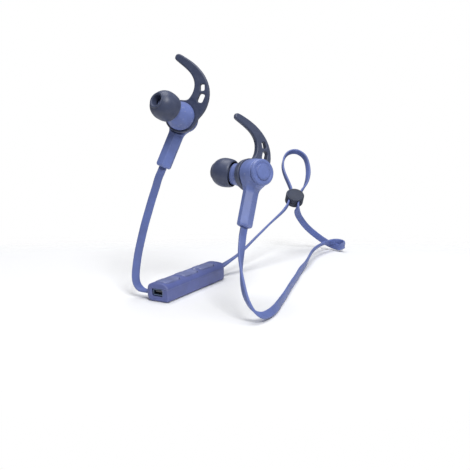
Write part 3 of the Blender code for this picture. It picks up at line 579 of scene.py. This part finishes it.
# In the bead's own plane: towards its right, along the strands, and the band's twist in degrees
LOOP_ROUTE = [(-0.0035, 0.0076, 0), (-0.0051, 0.0110, 0), (-0.0072, 0.0152, -2), (-0.0091, 0.0196, -3),
              (-0.0104, 0.0244, 0), (-0.0107, 0.0296, 2), (-0.0098, 0.0346, 4), (-0.0078, 0.0375, 6),
              (-0.0050, 0.0388, 8), (-0.0020, 0.0379, 12), (0.0007, 0.0352, 18), (0.0027, 0.0304, 26),
              (0.0040, 0.0250, 34), (0.0046, 0.0196, 36), (0.0045, 0.0144, 28), (0.0037, 0.0096, 14)]
CORD_SLIDER_TO_LEFT = [
    (0.0331, 0.0497, 0.0226, -0.60, 0.45, -0.30), (0.0336, 0.0510, 0.0202, -0.93, 0.10, -0.35),
    (0.0350, 0.0531, 0.0176, -0.85, 0.00, -0.52), (0.0369, 0.0551, 0.0148, -0.80, 0.00, -0.60),
    (0.0392, 0.0569, 0.0120, -0.72, 0.00, -0.69), (0.0427, 0.0586, 0.0087, -0.64, 0.00, -0.77),
    (0.0470, 0.0588, 0.0054, -0.55, 0.00, -0.83), (0.0511, 0.0570, 0.0031, -0.38, 0.00, -0.92),
    (0.0546, 0.0539, 0.0021, -0.15, 0.00, -0.99), (0.0571, 0.0510, 0.0026, -0.12, -0.05, -0.98),
    (0.0585, 0.0508, 0.0036, -0.10, 0.00, -0.99), (0.0581, 0.0528, 0.0042, -0.10, 0.00, -0.99),
    (0.0560, 0.0545, 0.0045, -0.10, 0.00, -0.99), (0.0528, 0.0544, 0.0046, -0.35, 0.20, -0.90),
    (0.0492, 0.0517, 0.0047, -0.60, 0.35, -0.70), (0.0455, 0.0464, 0.0045, -0.62, 0.30, -0.70),
    (0.0420, 0.0394, 0.0041, -0.50, 0.20, -0.84), (0.0393, 0.0316, 0.0035, -0.37, 0.14, -0.92),
    (0.0369, 0.0215, 0.0028, -0.28, 0.08, -0.95), (0.0342, 0.0103, 0.0021, -0.12, 0.00, -0.99),
    (0.0314, 0.0007, 0.0018, 0.08, -0.05, -0.99), (0.0287, -0.0117, 0.0018, 0.06, 0.00, -1.00),
    (0.0260, -0.0232, 0.0018, 0.06, 0.00, -1.00), (0.0234, -0.0347, 0.0018, 0.08, 0.00, -1.00),
    (0.0209, -0.0462, 0.0018, 0.12, -0.02, -0.99), (0.0182, -0.0572, 0.0018, 0.22, -0.10, -0.97),
    (0.0156, -0.0670, 0.0018, 0.36, -0.30, -0.88), (0.0126, -0.0737, 0.0018, 0.40, -0.55, -0.73),
    (0.0098, -0.0776, 0.0026, 0.38, -0.80, -0.45), (0.0073, -0.0789, 0.0046, 0.28, -0.96, -0.02),
    (0.0056, -0.0785, 0.0069, 0.30, -0.93, 0.22), (0.0043, -0.0773, 0.0094, 0.36, -0.86, 0.37),
    (0.0033, -0.0750, 0.0125, 0.34, -0.72, 0.60), (0.0026, -0.0719, 0.0163, 0.13, -0.76, 0.63),
    (0.0023, -0.0688, 0.0203, -0.25, -0.76, 0.60), (0.0024, -0.0655, 0.0244, -0.65, -0.62, 0.44),
    (0.0028, -0.0624, 0.0283, -0.79, -0.51, 0.36),
]
STEM_BOTTOM, MODULE_LENGTH, MODULE_WIDTH = -22.5, 50.0, 11.5
RIGHT_CORD_AT, RIGHT_CORD_HEIGHT, MAIN_CORD_HEIGHT = 3.3, 2.9, 4.0


def stations(where, places, width):
    """Route points at places in a part's own millimetres, the band's width along width there."""
    width = np.array(where)[:3, :3] @ np.array(width, float) / MM
    return [(*moved(where, spot), *width) for spot in places]


def bead_station(right, ahead, twist=0.0):
    along, across, out = axes(SLIDER_TRAVEL, SLIDER_FACE).col
    spot = Vector(SLIDER_PLACE) + ahead * along - right * across
    return (*spot, *(math.sin(twist) * across - math.cos(twist) * out))


def channel(side, aheads):
    return [bead_station(side * STRAND_SPACING / 2, ahead) for ahead in aheads]


WIDTH_SIGN = {"left": 1, "right": -1}


def stem_mouth(side, depths):
    return stations(BUDS[side], [(0, 0, STEM_BOTTOM + depth) for depth in depths], (0, WIDTH_SIGN[side], 0))


def smooth(points, count):
    """count points evenly along the smooth curve through points. Columns past the third go along."""
    points = np.array(points)
    at = np.concatenate([[0.0], np.cumsum(np.linalg.norm(np.diff(points[:, :3], axis=0), axis=1))])
    gaps = np.diff(at)
    bend, pull = np.eye(len(at)), np.zeros_like(points)
    for i in range(1, len(at) - 1):
        bend[i, i - 1 : i + 2] = gaps[i - 1], 2 * (gaps[i - 1] + gaps[i]), gaps[i]
        slopes = (points[i + 1] - points[i]) / gaps[i], (points[i] - points[i - 1]) / gaps[i - 1]
        pull[i] = 6 * (slopes[0] - slopes[1])
    curving = np.linalg.solve(bend, pull)
    where = np.linspace(0.0, at[-1], count)
    k = np.clip(np.searchsorted(at, where, side="right") - 1, 0, len(gaps) - 1)
    after, before = ((where - at[k]) / gaps[k])[:, None], ((at[k + 1] - where) / gaps[k])[:, None]
    bent = (before**3 - before) * curving[k] + (after**3 - after) * curving[k + 1]
    return before * points[k] + after * points[k + 1] + bent * gaps[k][:, None] ** 2 / 6


def band(name, route, step=0.0011):
    """The flat cord along a route. Gives the object, its centreline, and how far along each vertex is."""
    rough = np.array(route)[:, :3]
    count = round(np.linalg.norm(np.diff(rough, axis=0), axis=1).sum() / step)
    line = smooth(route, count)
    middle = line[:, :3]
    along = np.gradient(middle, axis=0)
    along /= np.linalg.norm(along, axis=1)[:, None]
    across = line[:, 3:] - along * (line[:, 3:] * along).sum(1)[:, None]
    across /= np.linalg.norm(across, axis=1)[:, None]
    out = np.cross(along, across)
    half = CORD_WIDTH / 2, CORD_THICKNESS / 2
    corners = [(half[0], -half[1]), (half[0], half[1]), (-half[0], half[1]), (-half[0], -half[1])]
    section = np.array(fillet(corners, CORD_THICKNESS * 0.46, 5))
    points = middle[:, None] + across[:, None] * section[None, :, :1] + out[:, None] * section[None, :, 1:]
    n = len(section)
    faces = [(i * n + k, i * n + (k + 1) % n, (i + 1) * n + (k + 1) % n, (i + 1) * n + k)
             for i in range(count - 1) for k in range(n)]
    faces += [tuple(range(n))[::-1], tuple((count - 1) * n + k for k in range(n))]
    at = np.concatenate([[0.0], np.cumsum(np.linalg.norm(np.diff(middle, axis=0), axis=1))])
    obj = piece(name, points.reshape(-1, 3), faces, CORD_BLUE, None, None)
    run = np.zeros((count, n, 3), np.float32)
    run[..., 0], run[..., 1], run[..., 2] = at[:, None], section[None, :, 0], section[None, :, 1]
    obj.data.attributes.new("run", "FLOAT_VECTOR", "POINT").data.foreach_set("vector", run.ravel())
    return obj, middle, np.repeat(at, n)


def declare(obj, middle):
    length = float(np.linalg.norm(np.diff(middle, axis=0), axis=1).sum())
    tuple(middle[0])
    [tuple(p) for p in middle]


def build_cords():
    side, end, edge = MODULE_WIDTH / 2, MODULE_LENGTH, SLIDER_HALF
    right, middle, _ = band("cord_to_right_bud", [
        *stem_mouth("right", (1.0, -1.0, -2.6)), *CORD_RIGHT,
        *stations(MODULE, [(RIGHT_CORD_AT, side + d, RIGHT_CORD_HEIGHT) for d in (3.0, 0.8, -1.1)],
                  (-1, 0, 0)),
    ])
    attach(right, "cord_and_housings")
    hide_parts("cord_right")
    declare(right, middle)
    long, middle, at = band("cord_to_left_bud", [
        *stations(MODULE, [(end + d, 0, MAIN_CORD_HEIGHT) for d in (-1.1, 0.8, 2.8)], (0, 1, 0)),
        *CORD_MODULE_TO_SLIDER, *channel(-1, (-edge, -0.0025, 0.0, 0.0025, edge)),
        *[bead_station(x, y, math.radians(twist)) for x, y, twist in LOOP_ROUTE],
        *channel(1, (edge, 0.0025, 0.0, -0.0025, -edge)), *CORD_SLIDER_TO_LEFT,
        *stem_mouth("left", (-2.6, -1.0, 1.0)),
    ])
    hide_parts("cord_module_to_slider", "cord_loop", "cord_slider_to_left")
    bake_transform(long)
    # The share of each point that would move with the bead: 1 on the loop and both passes through it, falling
    # to 0 over GIVE past them; nothing here applies it.
    distance = np.linalg.norm(middle - np.array(SLIDER_PLACE), axis=1)
    line_at = np.concatenate([[0.0], np.cumsum(np.linalg.norm(np.diff(middle, axis=0), axis=1))])
    passes = [line_at[i] for i in range(1, len(distance) - 1)
              if distance[i] < HELD and distance[i] <= min(distance[i - 1], distance[i + 1])]
    share = np.clip(1 - (np.abs(at[:, None] - np.array(passes)).min(1) - HELD) / GIVE, 0, 1)
    share[(at > min(passes)) & (at < max(passes))] = 1.0
    declare(long, middle)


build_cords()

# ---------------------------------------------------------------- earbuds

FIN_OUTER = [(-6.6, 0.8), (-8.1, 4.2), (-8.6, 8.5), (-7.8, 12.9), (-5.2, 17.2), (-1.1, 20.5), (3.6, 22.5),
             (9.3, 23.7)]
FIN_END = [(10.5, 23.7), (11.3, 23.2), (11.6, 22.3), (11.4, 21.3)]
FIN_INNER = [(10.6, 20.8), (6.6, 19.5), (2.3, 17.5), (-0.3, 14.5), (-1.0, 11.5), (-0.7, 8.8), (0.4, 6.6)]
FIN_WINDOWS = [((-5.2, 10.0), (2.4, 3.9), 2), ((-4.1, 14.3), (1.8, 2.9), -22)]
FIN_MIDDLE, SLEEVE_BORE, SLEEVE_OUT = 3.3, 5.8, 6.8


def rear_field(side):
    front = FRONT[side]
    ridge = 0.3 * front
    stem = inset([(2.8, 0.0), (1.2, 3.1), (-1.2, 3.1), (-2.6, ridge), (-1.2, -3.1), (1.2, -3.1)], 0.35)
    barrel = [(0.0, 1.3), (6.0, 1.3), (5.78, -2.0), (5.2, -4.35), (4.95, -4.6), (0.0, -4.6)]

    def field(p):
        x, y, z = p.T
        away = np.hypot(y, z)
        body = turned(x, away, barrel, 0.3)
        shaft = common(outline_field(p[:, :2], stem) - 0.35, np.maximum(STEM_BOTTOM - z, z + 3.0), 1.3)
        body = joined(body, shaft, 2.6)
        body = without(body, np.maximum(1.62 - x, away - 7.2), 0.25)
        body = without(body, np.maximum(away - 4.7, -3.3 - x), 0.2)
        return without(body, box_field(p, (0, 0, STEM_BOTTOM + 2.4), (1.7, 4.0, 7.0), 0.35), 0.35)

    return field


def front_field(side):
    nozzle = NOZZLES[side]
    turn, root = np.array(nozzle)[:3, :3].astype(np.float32), np.array(nozzle)[:3, 3].astype(np.float32)
    dome = [(0.0, 9.5), *arc((0.0, 5.2), (5.7, 4.3), 80, 0, 12), (5.7, 5.1), (5.25, 5.0), (5.25, 2.2),
            (0.0, 2.2)]
    tube = [(0.0, 11.95), (1.95, 11.95), (1.95, 6.7), (2.6, 6.2), (4.1, 5.9), (4.5, 3.0), (4.6, 0.0),
            (0.0, 0.0)]
    hollow = [(0.0, 8.9), *arc((0.0, 5.0), (5.0, 3.6), 80, 0, 8), (4.6, 4.7), (4.6, 0.0), (0.0, 0.0)]

    def field(p):
        x, away = p[:, 0], np.hypot(p[:, 1], p[:, 2])
        q = (p - root) @ turn
        off = np.hypot(q[:, 0], q[:, 1])
        body = joined(turned(x, away, dome, 0.25), turned(q[:, 2], off, tube, 0.25), 0.7)
        body = without(body, turned(x, away, hollow, 0.1), 0.2)
        return without(body, np.maximum(off - 1.5, 1.0 - q[:, 2]), 0.2)

    return field


def fin_field(side):
    front = FRONT[side]
    inner, outer = SLEEVE_BORE + 0.3, SLEEVE_OUT - 0.3
    ring = [(inner, 2.2), (outer, 2.2), (outer, 4.4), (inner, 4.4)]
    root = arc((0.0, 0.0), (6.3, 6.3), 102, 158, 8)
    outline = [*[tuple(p[:2]) for p in smooth([(*p, 0.0) for p in FIN_OUTER], 26)], *FIN_END,
               *[tuple(p[:2]) for p in smooth([(*p, 0.0) for p in FIN_INNER], 22)], *root]
    windows = []
    for middle, (across, along), slant in FIN_WINDOWS:
        turn = Matrix.Rotation(math.radians(slant), 2)
        w, h = across / 2, along / 2
        corners = fillet([(w, -h), (w, h), (-w, h), (-w, -h)], across * 0.38, 5)
        windows.append([tuple(turn @ Vector(c) + Vector(middle)) for c in corners])

    def field(p):
        x, y, z = p.T
        away = np.hypot(y, z)
        step = np.clip((away - 6.0) / 3.0, 0, 1)
        off = x - FIN_MIDDLE - math.tan(FIN_LEAN) * np.maximum(z, 0) * step
        flat = np.stack([y * front, z], 1)
        half = 1.4 - 0.45 * np.clip((z - 9.0) / 13.0, 0, 1)
        side_on, r = outline_field(flat, outline) + 0.65, 0.65
        ends = np.abs(off) - half + r
        outside = np.hypot(np.maximum(side_on, 0), np.maximum(ends, 0))
        fin = np.minimum(np.maximum(side_on, ends), 0) + outside - r
        for window in windows:
            fin = without(fin, outline_field(flat, window), 0.45)
        ring_field = outline_field(np.stack([away, x], 1), ring) - 0.3
        body = joined(fin, ring_field, 1.2)
        body = common(body, np.abs(off) - 1.42, 0.3)
        return without(body, away - SLEEVE_BORE, 0.2)

    return field


def tip_profile():
    front, belly, start = 15.6, 10.0, 6.2
    lip = fillet([(2.0, 12.9), (2.45, 15.3), (3.2, 15.6), (3.5, 15.1)], (0, 0.35, 0.35, 0), 5, closed=False)
    bulb = arc((1.8, belly), (4.3, front - 0.25 - belly), 68, 0, 18)
    skirt = [(6.07, 8.9), (5.96, 7.8), (5.78, 6.95), (5.55, start + 0.15), (5.3, start), (5.08, start + 0.12),
             (4.98, 6.6), (5.18, 7.7), (5.26, 8.9)]
    inside = arc((3.0, belly), (2.3, 3.8), 0, 82, 10)
    sleeve = fillet([(3.05, 13.2), (3.15, 7.3), (2.9, 7.0), (2.5, 7.0), (2.5, 12.5), (2.0, 12.7)],
                    (0, 0.2, 0.15, 0.15, 0.1, 0.1), 3, closed=False)
    return [*lip, *bulb, *skirt, *inside, *sleeve]


def cap_profile():
    outline = [(5.4, -5.2), (5.42, -5.75), (5.0, -6.4), (4.25, -6.4), (3.75, -6.22), (3.3, -6.22),
               (3.22, -6.68)]
    rim = fillet(outline, (0, 0.3, 0.35, 0.12, 0.1, 0.1, 0.22), 5, closed=False)
    return [(0.0, -5.2), (5.3, -5.2), *rim, (2.95, -6.76), (2.2, -6.79), (1.2, -6.80), (0.0, -6.80)]


def build_bud(side):
    bud = BUDS[side]
    sculpted("bud_body_" + side, rear_field(side), (-5.6, -7.4, -23.2), (2.6, 7.4, 7.0), 0.24, bud,
             BLUE, "cord_and_housings", ["rear_shell_" + side])
    sculpted("bud_front_" + side, front_field(side), (1.2, -12.5, -7.0), (17.2, 12.5, 7.4), 0.26, bud,
             BLUE, "cord_and_housings", ["front_shell_" + side])
    turned_piece("bud_cap_" + side, cap_profile()[::-1], bud, BLUE, "cord_and_housings",
                 ["outer_cap_" + side], "blue")
    sculpted("fin_" + side, fin_field(side), (0.8, -12.2 if side == "right" else -9.4, -7.6),
             (7.2, 9.4 if side == "right" else 12.2, 24.0), 0.28, bud, NAVY, "fin_sleeve_" + side,
             ["fin_sleeve_" + side])
    turned_piece("tip_" + side, tip_profile(), bud @ NOZZLES[side], NAVY, "ear_tip_" + side,
                 ["ear_tip_" + side], "silicone", ring=True, along_x=False)


for side in BUDS:
    build_bud(side)

# ---------------------------------------------------------------- control module

MODULE_HEIGHT, MODULE_DOME, MODULE_SPLIT, MODULE_WALL = 8.0, 3.4, 5.2, 1.2
RIGHT_CORNER, LEFT_CORNER = 0.9, 3.0
BUTTON_LENGTH, BUTTON_WIDTH, BUTTON_PITCH, FIRST_BUTTON = 11.4, 6.4, 14.4, 8.2
BUTTONS = ("volume_up", "multifunction", "volume_down")
PORT_SIZE, PORT_MIDDLE = (5.4, 3.3), 3.7
WINDOW_BOTTOM, LIGHT_AT, LIGHT_HOLE = 5.0, 29.8, 0.65
RIB_HEIGHT, RIB_HALVES = 7.10, (1.0, 2.3, 1.0)  # the low rib past the last button
KEY_SWELL, KEY_DISH, DISH_AT, DISH_BREADTH = 0.24, 0.55, 2.6, 1.6


def module_outer(p, rise=0.0):
    """The module's soft outer shape."""
    x, y, z = p.T
    half = MODULE_WIDTH / 2
    dome = arc((0.0, MODULE_HEIGHT - MODULE_DOME + rise), (half, MODULE_DOME), 0, 180, 21)
    section = [*arc((LEFT_CORNER - half, LEFT_CORNER), (LEFT_CORNER, LEFT_CORNER), 180, 270, 9),
               *arc((half - RIGHT_CORNER, RIGHT_CORNER), (RIGHT_CORNER, RIGHT_CORNER), 270, 360, 6), *dome]
    plan = fillet([(MODULE_LENGTH, -half), (MODULE_LENGTH, half), (0, half), (0, -half)],
                  (4.6, 3.2, 2.4, 0.6), 8)
    side_on = fillet([(MODULE_LENGTH, -3.0), (MODULE_LENGTH, MODULE_HEIGHT + rise), (0, MODULE_HEIGHT + rise),
                      (0, -3.0)], (0, 3.2, 0.4, 0), 8)
    body = outline_field(np.stack([-y, z], 1), section)
    body = common(body, outline_field(p[:, :2], plan), 0.8)
    return common(body, outline_field(np.stack([x, z], 1), side_on), 0.6)


def window_field(p, x, grow):
    half = (BUTTON_LENGTH / 2 + grow, BUTTON_WIDTH / 2 + grow)
    corners = [(half[0], -half[1]), (half[0], half[1]), (-half[0], half[1]), (-half[0], -half[1])]
    return outline_field(p[:, :2] - np.array((x, 0), np.float32), fillet(corners, 1.6 + grow, 6))


def cavity_field(p):
    size = (MODULE_LENGTH - 2 * MODULE_WALL, MODULE_WIDTH - 2 * MODULE_WALL, 6.0)
    lean = 1 - 0.16 * np.clip((p[:, 2] - MODULE_WALL) / 5.2, 0, 1)
    q = np.stack([p[:, 0], p[:, 1] / lean, p[:, 2]], 1).astype(np.float32)
    return np.maximum(box_field(q, (MODULE_LENGTH / 2, 0, MODULE_WALL + 3.0), size, 0.5), p[:, 2] - 6.4)


def base_field(p):
    body = common(module_outer(p), p[:, 2] - MODULE_SPLIT - 0.12, 0.02)
    body = without(body, cavity_field(p), 0.2)
    port = fillet([(PORT_SIZE[0] / 2, -PORT_SIZE[1] / 2), (PORT_SIZE[0] / 2, PORT_SIZE[1] / 2),
                   (-PORT_SIZE[0] / 2, PORT_SIZE[1] / 2), (-PORT_SIZE[0] / 2, -PORT_SIZE[1] / 2)], 0.8, 5)
    hole = outline_field(np.stack([p[:, 1], p[:, 2] - PORT_MIDDLE], 1), port)
    body = without(body, np.maximum(hole, p[:, 0] - 2.5), 0.4)
    slot = CORD_WIDTH / MM + 0.6, CORD_THICKNESS / MM + 0.6
    body = without(body, box_field(p, (RIGHT_CORD_AT, MODULE_WIDTH / 2, RIGHT_CORD_HEIGHT),
                                   (slot[0], 3.4, slot[1]), 0.5), 0.3)
    main = box_field(p, (MODULE_LENGTH, 0, MAIN_CORD_HEIGHT), (3.4, slot[0], slot[1]), 0.5)
    return without(body, main, 0.3)


def lid_field(p):
    body = common(module_outer(p), MODULE_SPLIT + 0.15 - p[:, 2], 0.02)
    middle = np.array((FIRST_BUTTON + 2.5 * BUTTON_PITCH, 0, RIB_HEIGHT), np.float32)
    rib = np.linalg.norm((p - middle) / np.array(RIB_HALVES), axis=1) - 1.0
    body = joined(body, rib.astype(np.float32), 0.5)
    body = without(body, cavity_field(p), 0.2)
    for i in range(3):
        window = window_field(p, FIRST_BUTTON + i * BUTTON_PITCH, 0.2)
        body = without(body, np.maximum(window, WINDOW_BOTTOM - p[:, 2]), 0.3)
    away = np.hypot(p[:, 0] - LIGHT_AT, p[:, 1])
    return without(body, away - LIGHT_HOLE, 0.15)


def button_field(x):
    def field(p):
        swell = KEY_SWELL - KEY_DISH * np.exp(-(((p[:, 0] - x - DISH_AT) / DISH_BREADTH) ** 2))
        lowered = np.stack([p[:, 0], p[:, 1], p[:, 2] - swell], 1)
        body = common(module_outer(lowered.astype(np.float32)), window_field(p, x, 0.0), 0.7)
        return common(body, 6.2 - p[:, 2], 0.3)

    return field


def build_module():
    root = "cord_and_housings"
    low, high = (-0.6, -6.3, -0.5), (50.6, 6.3, 6.2)
    sculpted("module_bottom", base_field, low, high, 0.3, MODULE, MODULE_BLUE, root, ["module_base"])
    sculpted("module_top", lid_field, (-0.6, -6.3, 4.8), (50.6, 6.3, 9.2), 0.3, MODULE, MODULE_BLUE, root,
             ["module_lid"])
    for i, name in enumerate(BUTTONS):
        x = FIRST_BUTTON + i * BUTTON_PITCH
        sculpted("key_" + name, button_field(x), (x - 6.2, -3.7, 5.6), (x + 6.2, 3.7, 9.4), 0.2, MODULE,
                 KEY_BLUE_PAINTED_LIGHTER, "button_" + name, ["button_" + name])
    points, faces = [], []
    for k in range(5):
        y, first = (k - 2) * 0.62, len(points)
        points += [(x, y + dy, z) for z in (3.62, 3.58) for x, dy in
                   ((2.1, -0.17), (4.8, -0.17), (4.8, 0.17), (2.1, 0.17))]
        faces += [[first + i for i in face] for face in
                  ((0, 1, 2, 3), (7, 6, 5, 4), (0, 4, 5, 1), (1, 5, 6, 2), (2, 6, 7, 3), (3, 7, 4, 0))]
    contacts = piece("charging_contacts", moved(MODULE, points), faces, GOLD, root, [])
    contacts.data.shade_flat()


build_module()

# ---------------------------------------------------------------- sliding bead

def bead_field(top):
    profile = [(0.0, 2.35), (3.95, 2.35), (4.05, 2.5), (4.35, 2.5), (4.65, 2.2), (4.65, 0.3), (0.0, 0.3)]
    sign = 1 if top else -1

    def field(p):
        x, y, z = p.T
        body = turned(z * sign, np.hypot(x, y), profile, 0.22)
        for side in (-1, 1):
            flat = np.stack([y - side * STRAND_SPACING / 2 / MM, z], 1)
            w, h = CORD_THICKNESS / MM / 2 + 0.25, CORD_WIDTH / MM / 2 + 0.25
            hole = outline_field(flat, fillet([(w, -h), (w, h), (-w, h), (-w, -h)], 0.6, 4))
            body = without(body, hole, 0.35)
        return body

    return field


sculpted("bead_top", bead_field(True), (-5.3, -5.3, -0.2), (5.3, 5.3, 3.2), 0.17, BEAD, BEAD_DARK,
         "cord_slider", ["slider_top"])
sculpted("bead_bottom", bead_field(False), (-5.3, -5.3, -3.2), (5.3, 5.3, 0.2), 0.17, BEAD, BEAD_DARK,
         "cord_slider", ["slider_base"])

# ---------------------------------------------------------------- the CAD pieces that show as they are

KEPT = {
    "battery_cell": FOIL, "bluetooth_chip": DARK, "charging_socket": SOCKET, "charging_tongue": DARK,
    "circuit_board": BOARD, "microphone": STEEL, "status_light": CLEAR, "cord_anchor_left": DARK,
    "cord_anchor_right": DARK, "cord_anchor_module_main": DARK, "cord_anchor_module_right": DARK,
    "switch_multifunction": DARK, "switch_volume_down": DARK, "switch_volume_up": DARK,
}
for side in BUDS:
    KEPT.update({"diaphragm_" + side: FILM, "driver_frame_" + side: STEEL, "driver_magnet_" + side: STEEL,
                 "nozzle_screen_" + side: SCREEN})
for name, paint in KEPT.items():
    for material_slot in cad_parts[name].material_slots:
        material_slot.material = paint

# ---------------------------------------------------------------- floor

def build_floor():
    """A pale sheet under the object that melts into the white backdrop away from it."""
    paint = Paint("floor", (0.86, 0.86, 0.87), 0.6)
    tone = paint.blend(paint.noise(3.0, 3.0), (0.855, 0.857, 0.865), (0.875, 0.877, 0.885))
    material = paint.done(tone)
    nodes, links = material.node_tree.nodes, material.node_tree.links
    place, stretch = nodes.new("ShaderNodeTexCoord"), nodes.new("ShaderNodeMapping")
    stretch.inputs["Location"].default_value = (0.0, FLOOR_SHIFT / FLOOR_DEPTH, 0.0)
    stretch.inputs["Scale"].default_value = (1 / FLOOR_BREADTH, 1 / FLOOR_DEPTH, 1.0)
    fade = nodes.new("ShaderNodeTexGradient")
    fade.gradient_type = "QUADRATIC_SPHERE"
    ramp = nodes.new("ShaderNodeMapRange")
    ramp.interpolation_type = "SMOOTHSTEP"
    ramp.inputs["From Max"].default_value = 0.16
    clear, mix = nodes.new("ShaderNodeBsdfTransparent"), nodes.new("ShaderNodeMixShader")
    out = next(node for node in nodes if node.type == "OUTPUT_MATERIAL")
    solid = out.inputs["Surface"].links[0].from_socket
    links.new(place.outputs["Object"], stretch.inputs["Vector"])
    links.new(stretch.outputs[0], fade.inputs[0])
    links.new(fade.outputs["Fac"], ramp.inputs["Value"])
    links.new(ramp.outputs[0], mix.inputs["Fac"])
    links.new(clear.outputs[0], mix.inputs[1])
    links.new(solid, mix.inputs[2])
    links.new(mix.outputs[0], out.inputs["Surface"])
    points, faces = lathe([(0.0, -0.0003), (1.5, -0.0003)], 64, along_x=False)
    mesh = bpy.data.meshes.new("floor")
    mesh.from_pydata(points.tolist(), [], faces)
    mesh.materials.append(material)
    floor = bpy.data.objects.new("floor", mesh)
    bpy.context.scene.collection.objects.link(floor)


FLOOR_BREADTH, FLOOR_DEPTH, FLOOR_SHIFT = 0.42, 0.15, 0.035
build_floor()
